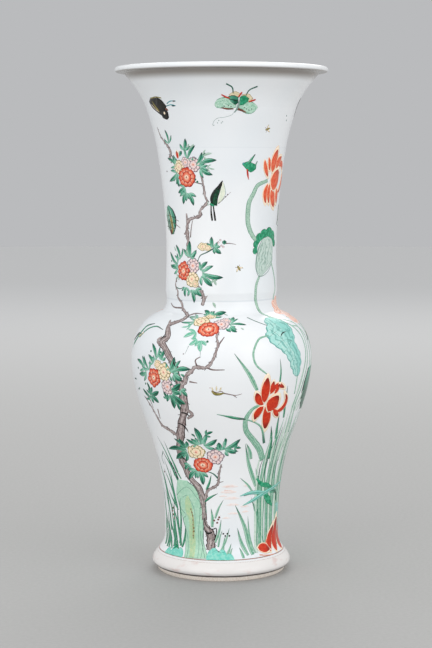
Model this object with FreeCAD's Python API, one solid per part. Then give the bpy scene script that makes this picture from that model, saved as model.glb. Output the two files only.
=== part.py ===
"""Yen yen vase: a tall porcelain baluster vase with a trumpet mouth and a rolled lip.

The body is thrown in five sections, which are trimmed level, luted end to end with slip
and turned smooth. Each luting is flush outside and leaves a low ridge of slip inside.
Millimetres, +Z up, with the origin on the axis at the underside of the foot ring.
A lean is the wall's angle from vertical, outward going up.
"""
import FreeCAD, Part
import math
import os

# Luting slip, and the ridge of it that stands inside
SLIP = 0.6
SLIP_RIDGE = 0.8

# Bare foot ring, and the recess that it stands round
RING_RADIUS = 58.2
RING_EDGE = 0.8
RING_HEIGHT = 4.4
RING_BAND = 5.2
RECESS_DEPTH = 9.0
RECESS_CHAMFER = 3.0

# Plinth of the foot, from the edge of the glaze up
GLAZE_STEP = 0.4
GLAZE_EDGE_RADIUS = 60.4
GLAZE_EDGE_LEAN = 33.0
PLINTH_RADIUS = 63.3
PLINTH_RISE = 4.1
CORNER_RADIUS = 57.2
CORNER_RISE = 10.5
CORNER_LEAN = -38.0
FOOT_LUTING_RADIUS = 52.05
FOOT_LUTING_RISE = 11.0
FOOT_LUTING_LEAN = -10.0
FOOT_LUTING_WALL = 8.0
BASE_THICKNESS = 8.0
FLOOR_RADIUS = 32.0

# Lower body, each level from the one below it
WAIST_RADIUS = 51.95
WAIST_RISE = 14.0
WAIST_WALL = 7.5
BODY_LUTING_RADIUS = 65.9
BODY_LUTING_RISE = 84.0
BODY_LUTING_LEAN = 20.0
BODY_LUTING_WALL = 6.5

# Belly and shoulder
BELLY_RADIUS = 82.2
BELLY_RISE = 68.0
BELLY_WALL = 5.6
SHOULDER_RADIUS = 65.7
SHOULDER_RISE = 35.7
SHOULDER_LEAN = -55.0
SHOULDER_WALL = 5.8
ROOT_RADIUS = 54.7
ROOT_RISE = 5.9
ROOT_LEAN = -70.0
NECK_LUTING_RADIUS = 49.6
NECK_LUTING_RISE = 12.4
NECK_LUTING_WALL = 6.0

# Neck
RIDGE_RADIUS = 50.6
RIDGE_RISE = 6.8
NECK_RADIUS = 49.9
NECK_RISE = 32.6
NECK_WALL = 5.0
MOUTH_LUTING_RADIUS = 58.4
MOUTH_LUTING_RISE = 95.6
MOUTH_LUTING_LEAN = 9.5
MOUTH_LUTING_WALL = 4.8

# Trumpet mouth
BELL_RADIUS = 67.6
BELL_RISE = 35.1
BELL_LEAN = 18.0
BELL_WALL = 4.5
UNDERLIP_RADIUS = 87.2
UNDERLIP_RISE = 30.6
UNDERLIP_LEAN = 41.0
UNDERLIP_WALL = 4.2

# Rolled lip
LIP_OVERHANG = 6.3
LIP_RISE = 1.4
LIP_THICKNESS = 4.9

# Lean of a wall that has turned level, as under the lip
LEVEL = 90.0


def at(radius, height):
    return FreeCAD.Vector(radius, 0, height)


class Station:
    """One level of the outside: its radius, height and lean, and the wall's thickness there."""

    def __init__(self, radius, height, lean, wall=None, luted=False):
        self.radius = radius
        self.height = height
        self.lean = lean
        self.wall = wall
        self.luted = luted

    def above(self, rise, radius, lean, wall=None, luted=False):
        """The next station up."""
        return Station(radius, self.height + rise, lean, wall, luted)

    def inside(self, ridge=0):
        """The inner face of the wall: straight across at a luting, else square to the wall."""
        angle = math.radians(self.lean)
        if self.luted:
            return Station(self.radius - self.wall / math.cos(angle) - ridge, self.height, self.lean)
        radius = self.radius - self.wall * math.cos(angle)
        return Station(radius, self.height + self.wall * math.sin(angle), self.lean)

    def along(self, rise):
        """The same wall a little further up or down its own slope."""
        radius = self.radius + rise * math.tan(math.radians(self.lean))
        return Station(radius, self.height + rise, self.lean, self.wall, self.luted)

    def point(self):
        return at(self.radius, self.height)

    def heading(self):
        angle = math.radians(self.lean)
        return at(math.sin(angle), math.cos(angle))


def polyline(points):
    """Straight edges through the points, without those of no length."""
    pairs = [pair for pair in zip(points[:-1], points[1:]) if not pair[0].isEqual(pair[1], 1e-7)]
    return [Part.LineSegment(start, end).toShape() for start, end in pairs]


def sweep(stations):
    """Smooth edges up through the stations, each leaving and arriving along the lean."""
    edges = []
    for low, high in zip(stations[:-1], stations[1:]):
        reach = low.point().distanceToPoint(high.point()) / 3
        leaving = low.point() + low.heading() * reach
        arriving = high.point() - high.heading() * reach
        bezier = Part.BezierCurve()
        bezier.setPoles([low.point(), leaving, arriving, high.point()])
        edges.append(bezier.toShape())
    return edges


def turned(edges):
    """The solid turned from a closed outline about the vase's axis."""
    outline = Part.Wire(Part.sortEdges(edges)[0])
    return Part.Face(outline).revolve(at(0, 0), at(0, 1), 360)


def trimmed(stations):
    """A section's stations, with its luted ends cut back to the faces of the slip."""
    low, high = stations[0], stations[-1]
    if low.luted:
        low = low.along(SLIP / 2)
    if high.luted:
        high = high.along(-SLIP / 2)
    return [low] + stations[1:-1] + [high]


def foot_stations():
    """The glazed outside of the foot, from the edge of the glaze to its luting."""
    edge = Station(GLAZE_EDGE_RADIUS, RING_HEIGHT, GLAZE_EDGE_LEAN)
    plinth = edge.above(PLINTH_RISE, PLINTH_RADIUS, 0)
    corner = plinth.above(CORNER_RISE, CORNER_RADIUS, CORNER_LEAN)
    luting = corner.above(
        FOOT_LUTING_RISE, FOOT_LUTING_RADIUS, FOOT_LUTING_LEAN, FOOT_LUTING_WALL, luted=True
    )
    return [edge, plinth, corner, luting]


def lower_body_stations(start):
    waist = start.above(WAIST_RISE, WAIST_RADIUS, 0, WAIST_WALL)
    luting = waist.above(
        BODY_LUTING_RISE, BODY_LUTING_RADIUS, BODY_LUTING_LEAN, BODY_LUTING_WALL, luted=True
    )
    return [start, waist, luting]


def belly_stations(start):
    belly = start.above(BELLY_RISE, BELLY_RADIUS, 0, BELLY_WALL)
    shoulder = belly.above(SHOULDER_RISE, SHOULDER_RADIUS, SHOULDER_LEAN, SHOULDER_WALL)
    root = shoulder.above(ROOT_RISE, ROOT_RADIUS, ROOT_LEAN)
    luting = root.above(NECK_LUTING_RISE, NECK_LUTING_RADIUS, 0, NECK_LUTING_WALL, luted=True)
    return [start, belly, shoulder, root, luting]


def neck_stations(start):
    """The neck, with the low ridge above its luting."""
    ridge = start.above(RIDGE_RISE, RIDGE_RADIUS, 0)
    neck = ridge.above(NECK_RISE, NECK_RADIUS, 0, NECK_WALL)
    luting = neck.above(
        MOUTH_LUTING_RISE, MOUTH_LUTING_RADIUS, MOUTH_LUTING_LEAN, MOUTH_LUTING_WALL, luted=True
    )
    return [start, ridge, neck, luting]


def mouth_stations(start):
    """The trumpet mouth, up to where the lip's underside turns into its bead."""
    bell = start.above(BELL_RISE, BELL_RADIUS, BELL_LEAN, BELL_WALL)
    underlip = bell.above(UNDERLIP_RISE, UNDERLIP_RADIUS, UNDERLIP_LEAN, UNDERLIP_WALL)
    bead = underlip.above(LIP_RISE, UNDERLIP_RADIUS + LIP_OVERHANG, LEVEL)
    return [start, bell, underlip, bead]


def foot(stations):
    """The foot: bare ring with eased edges, recessed base, plinth and the floor inside."""
    outside = trimmed(stations)
    edge, top = outside[0], outside[-1]
    bare = RING_RADIUS - RING_EDGE
    inner = bare - RING_BAND
    recess = inner - RING_EDGE
    step = edge.radius - GLAZE_STEP
    floor = RECESS_DEPTH + BASE_THICKNESS
    underside = polyline([
        edge.point(),
        at(step, RING_HEIGHT),
        at(RING_RADIUS, RING_EDGE),
        at(bare, 0),
        at(inner, 0),
        at(recess, RING_EDGE),
        at(recess, RECESS_DEPTH - RECESS_CHAMFER),
        at(recess - RECESS_CHAMFER, RECESS_DEPTH),
        at(0, RECESS_DEPTH),
        at(0, floor),
        at(FLOOR_RADIUS, floor),
        top.inside().point(),
        top.point(),
    ])
    return turned(sweep(outside) + underside)


def section(stations):
    """A section of plain wall, open at both ends."""
    outside = trimmed(stations)
    inside = [station.inside() for station in outside if station.wall]
    ends = polyline([outside[0].point(), inside[0].point()])
    ends += polyline([outside[-1].point(), inside[-1].point()])
    return turned(sweep(outside) + sweep(inside) + ends)


def mouth(stations):
    """The mouth's wall, whose outside rolls over the lip's bead to meet its inside."""
    outside = trimmed(stations)
    bead = outside[-1]
    nose = at(bead.radius + LIP_THICKNESS / 2, bead.height + LIP_THICKNESS / 2)
    crest = bead.above(LIP_THICKNESS, bead.radius, LEVEL)
    roll = Part.Arc(bead.point(), nose, crest.point()).toShape()
    inside = [station.inside() for station in outside if station.wall] + [crest]
    end = polyline([outside[0].point(), inside[0].point()])
    return turned(sweep(outside) + [roll] + sweep(inside) + end)


def luting(station):
    """The slip in a joint: flush with the outside, and standing proud inside as a ridge."""
    low = station.along(-SLIP / 2)
    high = station.along(SLIP / 2)
    inner_low = low.inside(SLIP_RIDGE).point()
    inner_high = high.inside(SLIP_RIDGE).point()
    return turned(polyline([low.point(), high.point(), inner_high, inner_low, low.point()]))


def build():
    foot_run = foot_stations()
    lower_run = lower_body_stations(foot_run[-1])
    belly_run = belly_stations(lower_run[-1])
    neck_run = neck_stations(belly_run[-1])
    mouth_run = mouth_stations(neck_run[-1])
    return {
        "foot": foot(foot_run),
        "foot_luting": luting(foot_run[-1]),
        "lower_body": section(lower_run),
        "body_luting": luting(lower_run[-1]),
        "belly_and_shoulder": section(belly_run),
        "neck_luting": luting(belly_run[-1]),
        "neck": section(neck_run),
        "mouth_luting": luting(neck_run[-1]),
        "trumpet_mouth": mouth(mouth_run),
    }


os.makedirs("parts", exist_ok=True)
for node, solid in build().items():
    solid.exportStep(f"parts/{node}.step")
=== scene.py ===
"""The looks of the yen yen vase: its glaze, its famille verte enamels, the light and the camera.

The decoration is painted on the solid vase. Each motif is a mesh of brush strokes in low relief,
laid out in surface coordinates: an angle in degrees round from the front (-Y), growing towards
+X, and a height in millimetres above the foot. A leaf or a blade is the (angle, height) of its
root, the (angle, height) of its tip and its width in millimetres. The places were picked
in the photograph, carried onto the vase and adjusted. The back repeats the front, turned.
"""
import bpy
import math
import numpy as np
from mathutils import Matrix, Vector
from mathutils.bvhtree import BVHTree


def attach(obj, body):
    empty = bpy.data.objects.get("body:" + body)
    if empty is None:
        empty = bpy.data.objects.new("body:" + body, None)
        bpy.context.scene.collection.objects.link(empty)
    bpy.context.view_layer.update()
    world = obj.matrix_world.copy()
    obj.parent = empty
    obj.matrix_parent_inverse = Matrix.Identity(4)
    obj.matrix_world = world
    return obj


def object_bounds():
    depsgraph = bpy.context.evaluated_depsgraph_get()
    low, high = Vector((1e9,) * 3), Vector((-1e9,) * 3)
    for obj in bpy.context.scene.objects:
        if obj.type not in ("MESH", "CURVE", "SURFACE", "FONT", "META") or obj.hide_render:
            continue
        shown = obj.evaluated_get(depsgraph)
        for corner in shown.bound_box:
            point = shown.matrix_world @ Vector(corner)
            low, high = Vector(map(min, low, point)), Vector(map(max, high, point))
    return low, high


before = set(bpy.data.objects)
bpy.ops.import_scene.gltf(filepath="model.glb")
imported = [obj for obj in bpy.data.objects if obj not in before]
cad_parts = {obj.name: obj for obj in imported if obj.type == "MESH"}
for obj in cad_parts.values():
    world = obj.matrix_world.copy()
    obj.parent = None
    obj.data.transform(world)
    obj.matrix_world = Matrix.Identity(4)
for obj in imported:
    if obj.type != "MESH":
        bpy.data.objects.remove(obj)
cad_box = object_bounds()
MM = 0.001

# Camera, as the photograph was taken: a long lens 1.55 m away, a little above the belly
CAMERA_DISTANCE = 1.55
CAMERA_HEIGHT = 0.373
CAMERA_PITCH = math.radians(5.45)
CAMERA_YAW = math.radians(0.18)
LENS = 94.8
SENSOR = 36.0


def make_camera():
    camera = bpy.data.cameras.new("camera")
    camera.lens = LENS
    camera.sensor_width = SENSOR
    camera.clip_start = 0.05
    thing = bpy.data.objects.new("camera", camera)
    thing.location = (0, -CAMERA_DISTANCE, CAMERA_HEIGHT)
    thing.rotation_euler = (math.pi / 2 - CAMERA_PITCH, 0, CAMERA_YAW)
    bpy.context.scene.collection.objects.link(thing)
    bpy.context.scene.camera = thing


# The glazed surface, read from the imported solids
LOWEST_LEVEL = 5.0
TOP_MARGIN = 6.0
RAY_TURNS = (0.0, 0.4, 0.8)
RAY_START = 0.2


def read_profile():
    """Levels and radii of the outside, in millimetres, by rays from outside it."""
    corners, faces = [], []
    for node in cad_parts.values():
        start = len(corners)
        corners += [v.co.copy() for v in node.data.vertices]
        faces += [[start + i for i in face.vertices] for face in node.data.polygons]
    tree = BVHTree.FromPolygons(corners, faces)
    levels = np.arange(LOWEST_LEVEL, cad_box[1][2] / MM - TOP_MARGIN, 1.0)
    radii = []
    for level in levels:
        hits = []
        for turn in RAY_TURNS:
            ray = Vector((math.sin(turn), -math.cos(turn), 0))
            hit = tree.ray_cast(ray * RAY_START + Vector((0, 0, level * MM)), -ray)[0]
            hits.append(math.hypot(hit.x, hit.y) / MM)
        radii.append(max(hits))
    return levels, np.array(radii)


LEVELS, RADII = read_profile()
LEANS = np.arctan(np.gradient(RADII, LEVELS))


def radius(height):
    return np.interp(height, LEVELS, RADII)


def lean(height):
    return np.interp(height, LEVELS, LEANS)


def on_glaze(angle, height, lift):
    """Points in metres at these angles and heights, lifted square off the glaze."""
    slope = lean(height)
    turn = np.radians(angle)
    out = radius(height) + lift * np.cos(slope)
    return np.stack([out * np.sin(turn), -out * np.cos(turn), height - lift * np.sin(slope)], -1) * MM


class Spot:
    """A place on the glaze with its own x across and y up in millimetres, turned."""

    def __init__(self, angle, height, turn=0):
        self.angle = angle
        self.height = height
        self.turn = math.radians(turn)

    def __call__(self, *points):
        x, y = np.array(points, float).T
        across = math.cos(self.turn) * x - math.sin(self.turn) * y
        up = math.sin(self.turn) * x + math.cos(self.turn) * y
        height = self.height + up * np.cos(lean(self.height))
        angle = self.angle + np.degrees(across / radius(height))
        return np.stack([angle, height], -1)


# The body's colours, written as they are seen
def seen(red, green, blue):
    """A shader colour from its red, green and blue on a screen, 0 to 255."""
    parts = [c / 255 for c in (red, green, blue)]
    return tuple(c / 12.92 if c <= 0.04045 else ((c + 0.055) / 1.055) ** 2.4 for c in parts) + (1,)


GLAZE = seen(240, 242, 244)
GLAZE_COOL = seen(230, 235, 239)
BISCUIT = seen(248, 240, 231)
BISCUIT_DARK = seen(226, 212, 198)
RING_LINE = seen(52, 36, 30)
LIP_SHADE = seen(138, 130, 122)
PLINTH_TINT = seen(230, 225, 222)
RUST = seen(190, 98, 66)
SEAM_SHADE_GREY = seen(196, 204, 212)
SLIP_BARE = seen(228, 226, 222)
SLIP_DARK = seen(210, 206, 200)

# Finish of the clear glaze
GLAZE_ROUGHNESS = 0.2
GLAZE_COAT = 0.15
GLAZE_SHINE = 0.4
ENAMEL_SHINE = 0.3
COAT_ROUGHNESS = 0.24

# Heights in metres where a mark in the glaze starts, is full, is still full and has gone; UNDER_LIP places
# the painted shade under the lip
STAIN_TOP = 0.0195
STAIN_FULL = 0.0165
UNDER_LIP = (0.4425, 0.4500, 0.4522, 0.4536)
GLAZE_EDGE = (0.0037, 0.0042, 0.0052, 0.0061)

# Painted shade at the seams: soft grey lines that stand in for the shade of the joints; the lowest and
# highest level, and how strong
PAINTED_SEAM_SHADE = ((0.2492, 0.2504, 0.45), (0.3846, 0.3854, 0.12))
SEAM_SHADE_BLUR = 0.0006


class Shader:
    """A material's nodes and their links."""

    def __init__(self, name):
        self.material = bpy.data.materials.new(name)
        self.material.use_nodes = True
        self.tree = self.material.node_tree
        self.surface = self.tree.nodes["Principled BSDF"]

    def node(self, kind, *values, **settings):
        made = self.tree.nodes.new("ShaderNode" + kind)
        for key, value in settings.items():
            setattr(made, key, value)
        for socket, value in zip(made.inputs, values):
            self.feed(socket, value)
        return made

    def feed(self, socket, value):
        if isinstance(value, bpy.types.NodeSocket):
            self.tree.links.new(value, socket)
        elif value is not None:
            socket.default_value = value

    def math(self, operation, *values):
        return self.node("Math", *values, operation=operation).outputs[0]

    def step(self, value, low, high):
        """0 below low, 1 above high and smooth between; falling where low is above high."""
        rises = low < high
        made = self.node("MapRange", value, min(low, high), max(low, high), interpolation_type="SMOOTHSTEP")
        made.inputs[3].default_value = 0.0 if rises else 1.0
        made.inputs[4].default_value = 1.0 if rises else 0.0
        return made.outputs[0]

    def band(self, value, start, full, still, gone):
        """1 between full and still, and 0 below start and above gone."""
        return self.both(self.step(value, start, full), self.step(value, gone, still))

    def both(self, *shares):
        result = shares[0]
        for share in shares[1:]:
            result = self.math("MULTIPLY", result, share)
        return result

    def mix(self, share, first, second):
        made = self.node("Mix", data_type="RGBA")
        self.feed(made.inputs[0], share)
        self.feed(made.inputs[6], first)
        self.feed(made.inputs[7], second)
        return made.outputs[2]

    def noise(self, scale, detail=3.0, stretch=None):
        where = self.node("TexCoord").outputs["Object"]
        if stretch:
            where = self.node("VectorMath", where, stretch, operation="MULTIPLY").outputs[0]
        made = self.node("TexNoise", noise_dimensions="3D")
        self.feed(made.inputs["Vector"], where)
        self.feed(made.inputs["Scale"], scale)
        self.feed(made.inputs["Detail"], detail)
        return made.outputs[0]

    def attribute(self, name):
        return self.node("Attribute", attribute_name=name).outputs["Fac"]

    def bump(self, height, distance, strength=1.0):
        made = self.node("Bump")
        self.feed(made.inputs["Height"], height)
        made.inputs["Distance"].default_value = distance
        made.inputs["Strength"].default_value = strength
        self.feed(self.surface.inputs["Normal"], made.outputs[0])

    def finish(self, colour, roughness, coat=0.0, shine=0.5):
        self.feed(self.surface.inputs["Base Color"], colour)
        self.feed(self.surface.inputs["Roughness"], roughness)
        self.surface.inputs["Specular IOR Level"].default_value = shine
        self.surface.inputs["Coat Weight"].default_value = coat
        self.surface.inputs["Coat Roughness"].default_value = COAT_ROUGHNESS
        return self.material


def glaze_colour(s):
    """The clear glaze's colour: cool white, with clouds, iron specks and grey lines of painted shade at the
    seams.
    """
    where = s.node("NewGeometry").outputs["Position"]
    z = s.node("SeparateXYZ", where).outputs[2]
    colour = s.mix(s.step(s.noise(9.0, 2.0), 0.35, 0.7), GLAZE, GLAZE_COOL)
    stain = s.step(s.noise(70.0, 5.0, (1, 1, 2.6)), 0.55, 0.72)
    tint = s.mix(s.both(stain, 0.3), PLINTH_TINT, RUST)
    colour = s.mix(s.both(s.step(z, STAIN_TOP, STAIN_FULL), 0.8), colour, tint)
    cells = s.node("TexVoronoi")
    s.feed(cells.inputs["Vector"], s.node("TexCoord").outputs["Object"])
    s.feed(cells.inputs["Scale"], 60.0)
    colour = s.mix(s.both(s.step(cells.outputs["Distance"], 0.026, 0.014), 0.4), colour, RUST)
    # painted shade: a soft grey line round each of the two upper seams
    for low, high, share in PAINTED_SEAM_SHADE:
        middle = (low + high) / 2
        seam_shade = s.both(s.band(z, low - SEAM_SHADE_BLUR, middle, middle, high + SEAM_SHADE_BLUR), share)
        colour = s.mix(seam_shade, colour, SEAM_SHADE_GREY)
    return colour, z


def porcelain():
    """Glazed porcelain with its bare foot ring, and the shade gathered under the lip."""
    s = Shader("glazed_porcelain")
    colour, z = glaze_colour(s)
    where = s.node("NewGeometry").outputs["Position"]
    x, y, _ = s.node("SeparateXYZ", where).outputs
    out = s.math("SQRT", s.math("ADD", s.math("MULTIPLY", x, x), s.math("MULTIPLY", y, y)))
    normal = s.node("NewGeometry").outputs["Normal"]
    facing = s.node("SeparateXYZ", normal).outputs[2]
    # painted shade: where the underside of the lip faces down, its colour is darkened towards LIP_SHADE
    under = s.both(s.band(z, *UNDER_LIP), s.step(facing, 0.0, -0.4), 0.9)
    colour = s.mix(under, colour, LIP_SHADE)
    edge = s.math("SUBTRACT", z, s.math("MULTIPLY", s.noise(120.0, 2.0), 0.0005))
    bare = s.both(s.step(edge, 0.0043, 0.0038), s.step(out, 0.0508, 0.0512))
    grain = s.noise(900.0, 4.0)
    colour = s.mix(bare, colour, s.mix(s.step(grain, 0.35, 0.75), BISCUIT, BISCUIT_DARK))
    line = s.both(s.band(edge, *GLAZE_EDGE), s.step(out, 0.055, 0.057))
    colour = s.mix(s.both(line, 0.92), colour, RING_LINE)
    rings = s.math("MULTIPLY", s.math("SINE", s.math("MULTIPLY", z, 420.0)), 0.25)
    skin = s.math("ADD", s.math("MULTIPLY", s.noise(260.0, 2.0), 0.5), rings)
    s.bump(s.math("ADD", skin, s.both(grain, bare, 1.4)), 0.00005, 0.6)
    roughness = s.math("ADD", GLAZE_ROUGHNESS, s.both(bare, 0.5))
    return s.finish(colour, roughness, GLAZE_COAT, GLAZE_SHINE)


def slip():
    """Luting slip: glazed over like the wall outside, and bare fired slip inside."""
    s = Shader("porcelain_slip")
    colour, _ = glaze_colour(s)
    where = s.node("NewGeometry").outputs["Position"]
    normal = s.node("NewGeometry").outputs["Normal"]
    level = s.node("VectorMath", where, (1, 1, 0), operation="MULTIPLY").outputs[0]
    away = s.node("VectorMath", level, normal, operation="DOT_PRODUCT").outputs["Value"]
    inside = s.step(away, 0.0, -0.002)
    grain = s.step(s.noise(500.0, 4.0), 0.3, 0.75)
    s.bump(s.both(grain, inside), 0.0001)
    colour = s.mix(inside, colour, s.mix(grain, SLIP_BARE, SLIP_DARK))
    roughness = s.math("ADD", GLAZE_ROUGHNESS, s.both(inside, 0.3))
    return s.finish(colour, roughness, GLAZE_COAT, GLAZE_SHINE)


def enamel(name, colour, shade=None, edge=None, edge_width=0.26, broken=False, rim=None, tip=None,
           base=None, side=None, rib=None, streaks=0, stipple=None, roughness=0.22, coat=0.12):
    """One enamel of the palette, painted along each stroke's own length and width.

    shade pools here and there, side washes one half, base and tip the two ends, streaks run
    along the stroke, stipple dots it, rib marks a leaf's middle, edge outlines the sides and
    rim the far end. A broken edge comes and goes.
    """
    s = Shader(name)
    along = s.attribute("along")
    across = s.attribute("across")
    off = s.math("ABSOLUTE", across)
    pool = s.step(s.noise(420.0, 3.0), 0.38, 0.66)
    paint = s.mix(s.both(pool, 0.8), colour, shade or colour)
    if side:
        paint = s.mix(s.both(s.step(across, -0.1, 0.35), 0.8), paint, side)
    if base:
        paint = s.mix(s.step(along, 0.62, 0.1), paint, base)
    if tip:
        paint = s.mix(s.step(along, 0.6, 0.95), paint, tip)
    if streaks:
        wander = s.math("ADD", across, s.math("MULTIPLY", s.noise(160.0, 3.0), 1.1))
        wave = s.math("SINE", s.math("MULTIPLY", wander, streaks))
        paint = s.mix(s.both(s.step(wave, 0.2, 0.95), 0.6), paint, edge or shade)
    if stipple:
        paint = s.mix(s.both(s.step(s.noise(1300.0, 2.0), 0.5, 0.62), 0.7), paint, stipple)
    if rib:
        paint = s.mix(s.both(s.step(off, 0.2, 0.06), 0.75), paint, rib)
    if edge:
        line = s.step(off, 1 - edge_width * 1.3, 1 - edge_width * 0.5)
        if rim:
            line = s.math("MAXIMUM", line, s.step(along, 1 - rim * 1.2, 1 - rim * 0.7))
        if broken:
            line = s.both(line, s.step(s.noise(140.0, 2.0), 0.3, 0.42))
        paint = s.mix(line, paint, edge)
    s.bump(s.math("ADD", s.noise(500.0, 2.0), s.both(pool, 0.4)), 0.0001, 0.5)
    return s.finish(paint, roughness, coat, ENAMEL_SHINE)


# The enamels. A colour is its red, green and blue as they are seen on a screen, 0 to 255
EMERALD_DARK = (10, 62, 50)
VERDIGRIS = (150, 208, 196)
TURQUOISE = (116, 206, 190)
TURQUOISE_DARK = (48, 132, 122)
SAGE = (166, 198, 178)
SAGE_PALE = (204, 222, 210)
SAGE_DARK = (88, 130, 112)
OLIVE = (128, 118, 58)
IRON_RED = (198, 44, 16)
IRON_DARK = (140, 22, 8)
CORAL = (236, 116, 78)
PEACH = (250, 204, 178)
CREAM = (252, 238, 214)
BARK_DARK = (60, 46, 46)
INK = (18, 20, 18)
MATT = dict(roughness=0.32, coat=0.05)
PAINTS = {
    "leaf": dict(
        colour=(26, 122, 92), shade=(54, 150, 116), side=(112, 186, 156), edge=EMERALD_DARK,
        edge_width=0.22, rib=EMERALD_DARK, base=(128, 190, 164), tip=(30, 78, 68),
    ),
    "leaf_side": dict(
        colour=(80, 162, 134), shade=(40, 132, 102), side=(158, 208, 186), edge=(20, 78, 64),
        edge_width=0.24, base=(150, 204, 182), tip=(24, 88, 72),
    ),
    "leaf_dark": dict(
        colour=(8, 84, 60), shade=(24, 112, 84), side=(64, 146, 118), edge=(8, 38, 32), edge_width=0.22,
        rib=(8, 38, 32), base=(90, 166, 138),
    ),
    "leaf_light": dict(
        colour=(112, 196, 164), shade=(150, 214, 190), side=(170, 220, 200), edge=(54, 134, 110),
        edge_width=0.24, rib=(60, 140, 116),
    ),
    "wing": dict(
        colour=(196, 226, 208), shade=(160, 208, 182), edge=(70, 138, 112), edge_width=0.14,
        stipple=(96, 164, 134),
    ),
    "leaf_pale": dict(colour=SAGE, shade=SAGE_PALE, edge=SAGE_DARK, rib=SAGE_DARK),
    "grass": dict(
        colour=(112, 176, 146), shade=SAGE, side=(170, 210, 188), edge=(52, 112, 92), edge_width=0.22,
        rib=(70, 130, 108), tip=(70, 116, 98),
    ),
    "grass_dark": dict(
        colour=(36, 116, 84), shade=(70, 150, 118), side=(110, 180, 148), edge=EMERALD_DARK, edge_width=0.2,
        tip=(40, 72, 62),
    ),
    "grass_pale": dict(colour=(208, 226, 214), shade=(186, 212, 196), edge=SAGE_DARK, edge_width=0.2),
    "stem": dict(
        colour=(176, 206, 188), shade=SAGE, edge=(92, 146, 122), edge_width=0.34, broken=True,
        stipple=(104, 154, 130),
    ),
    "reed": dict(
        colour=(136, 188, 162), shade=(176, 212, 192), edge=(74, 130, 108), edge_width=0.2, streaks=11,
    ),
    "lotus_leaf": dict(
        colour=(166, 222, 214), shade=(194, 232, 224), side=(140, 210, 200), edge=(84, 160, 152),
        edge_width=0.1, streaks=12,
    ),
    "lotus_edge": dict(
        colour=VERDIGRIS, shade=TURQUOISE, edge=TURQUOISE_DARK, edge_width=0.2, rib=TURQUOISE_DARK,
    ),
    "lotus_fold": dict(colour=(14, 132, 90), shade=(70, 180, 138), edge=EMERALD_DARK, edge_width=0.14),
    "lotus_under": dict(
        colour=(206, 222, 214), shade=(188, 212, 202), edge=(120, 156, 142), edge_width=0.08, streaks=17,
    ),
    "bank": dict(colour=(110, 206, 190), shade=(160, 222, 208), edge=(60, 160, 140), edge_width=0.12),
    "red_petal": dict(
        colour=IRON_RED, shade=(216, 66, 30), edge=IRON_DARK, tip=IRON_DARK, edge_width=0.12, **MATT,
    ),
    "red_faint": dict(
        colour=(232, 92, 56), shade=(240, 130, 92), edge=(204, 60, 32), tip=(196, 80, 60), streaks=12,
        edge_width=0.14, **MATT,
    ),
    "red_lobe": dict(
        colour=(226, 84, 54), shade=(240, 140, 106), edge=(172, 22, 6), edge_width=0.4, rim=0.26,
        base=(248, 196, 170), **MATT,
    ),
    "red_heart": dict(colour=PEACH, shade=CREAM, edge=CORAL, **MATT),
    "yellow_lobe": dict(
        colour=(248, 232, 196), shade=CREAM, edge=(132, 118, 62), edge_width=0.38, rim=0.24,
        base=(250, 214, 184), tip=(238, 224, 166),
    ),
    "yellow_heart": dict(colour=PEACH, shade=CREAM, edge=(244, 190, 160)),
    "mauve_lobe": dict(
        colour=(232, 212, 214), shade=(242, 222, 218), edge=(106, 86, 100), edge_width=0.4, rim=0.24,
        base=(246, 214, 206), tip=(218, 200, 206),
    ),
    "mauve_heart": dict(colour=(246, 196, 186), shade=PEACH, edge=(236, 160, 150), edge_width=0.16),
    "down": dict(colour=(238, 240, 222), shade=(214, 226, 206), streaks=9),
    "cream": dict(colour=CREAM, shade=(250, 226, 196), edge=(248, 214, 184)),
    "bark": dict(
        colour=(158, 142, 140), shade=(204, 192, 190), edge=(64, 46, 46), streaks=9, edge_width=0.36,
    ),
    "knot": dict(colour=(48, 34, 34), shade=(84, 66, 64), roughness=0.25),
    "twig": dict(colour=(140, 122, 120), shade=(96, 80, 80), edge=BARK_DARK, broken=True),
    "ink": dict(colour=INK, shade=(48, 44, 38), roughness=0.25),
    "brown": dict(colour=(128, 66, 44), shade=(84, 48, 38), roughness=0.3),
    "scarlet": dict(colour=(206, 58, 34), shade=(170, 36, 20), **MATT),
    "olive": dict(colour=OLIVE, shade=(164, 152, 90), edge=(80, 74, 44)),
    "tan": dict(colour=(220, 206, 168), shade=(234, 222, 190), edge=(150, 112, 70), edge_width=0.16),
    "green_line": dict(colour=(50, 104, 88), shade=(26, 80, 66)),
    "grey_line": dict(colour=(124, 152, 144), shade=(150, 172, 164)),
    "teal": dict(colour=(60, 140, 150), shade=(96, 176, 180)),
    "night_green": dict(
        colour=(10, 92, 60), shade=(6, 40, 28), edge=INK, streaks=7, edge_width=0.3, side=(6, 26, 20),
    ),
    "ground": dict(colour=(170, 128, 116), shade=(120, 96, 88), roughness=0.3, coat=0.1),
    "rust": dict(colour=(212, 136, 108), shade=(232, 168, 144), roughness=0.3, coat=0.1),
    "rock": dict(colour=(166, 212, 186), shade=(190, 224, 202), edge=(80, 128, 114), edge_width=0.05),
    "rock_heart": dict(colour=(172, 208, 166), shade=(200, 216, 172), edge=(90, 140, 120), edge_width=0.1),
    "rock_line": dict(colour=(86, 132, 118), shade=(62, 108, 96)),
    "wash": dict(
        colour=(248, 204, 184), shade=(250, 224, 212), edge=(224, 130, 98), edge_width=0.14,
        base=(250, 226, 214), streaks=8,
    ),
    "mist": dict(
        colour=(242, 232, 230), shade=(242, 220, 212), edge=(240, 238, 238), edge_width=0.5, roughness=0.2,
        coat=0.3,
    ),
}
made_paints = {}


def shader_value(value):
    """A paint's value as enamel() takes it, with a colour turned into a shader colour."""
    return seen(*value) if isinstance(value, tuple) else value


def paint(name):
    if name not in made_paints:
        look = {key: shader_value(value) for key, value in PAINTS[name].items()}
        made_paints[name] = enamel("enamel_" + name, **look)
    return made_paints[name]


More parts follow.
